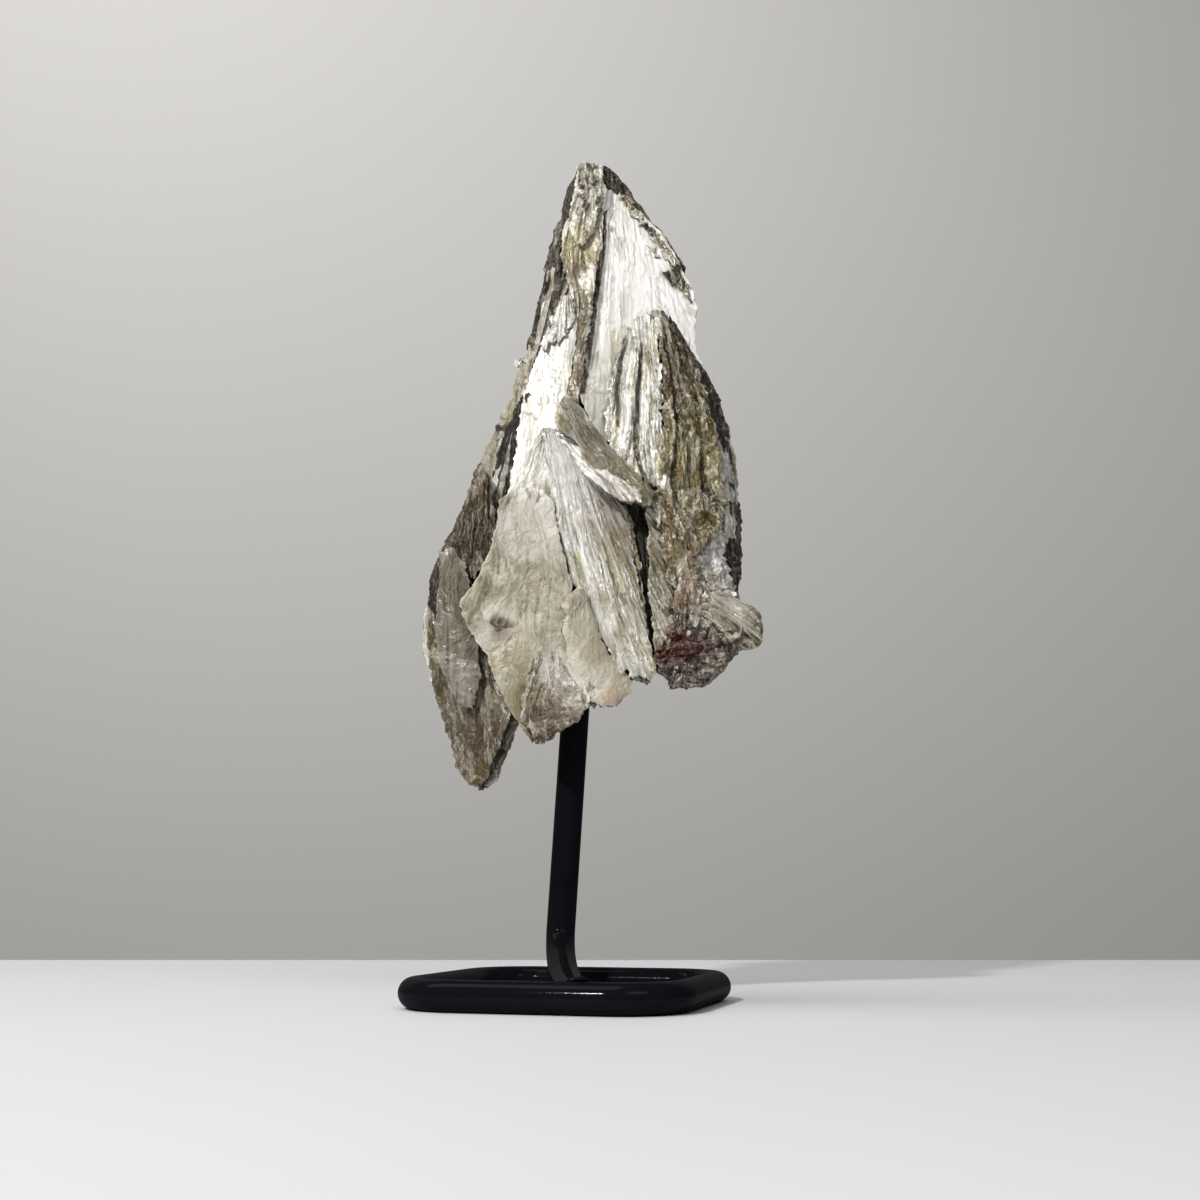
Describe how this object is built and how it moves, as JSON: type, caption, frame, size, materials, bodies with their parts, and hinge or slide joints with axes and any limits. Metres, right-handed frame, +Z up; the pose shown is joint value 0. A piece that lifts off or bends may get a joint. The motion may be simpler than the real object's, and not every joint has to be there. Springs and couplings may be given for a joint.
{
  "type": "mica specimen on a rod stand",
  "caption": "Pointed cluster of silvery and olive-brown mica books that fan downwards, held upright on a bent round-rod post with a rounded-square ring base in black gloss paint.",
  "frame": {"origin": "on the surface that the base ring stands on, below the middle of the whole thing's box", "axes": "+Z up; the base ring's rails run along X and Y, and the rail that the post is welded to is at -Y; the stone's front looks along -Y turned 16 degrees towards +X"},
  "size_m": [0.1006, 0.0872, 0.25],
  "materials": {
    "stand_paint": "gloss",
    "mica": "satin"
  },
  "bodies": {
    "root": {"base_ring": "stand_paint", "post": "stand_paint", "mica_cluster": "mica"}
  },
  "joints": []
}
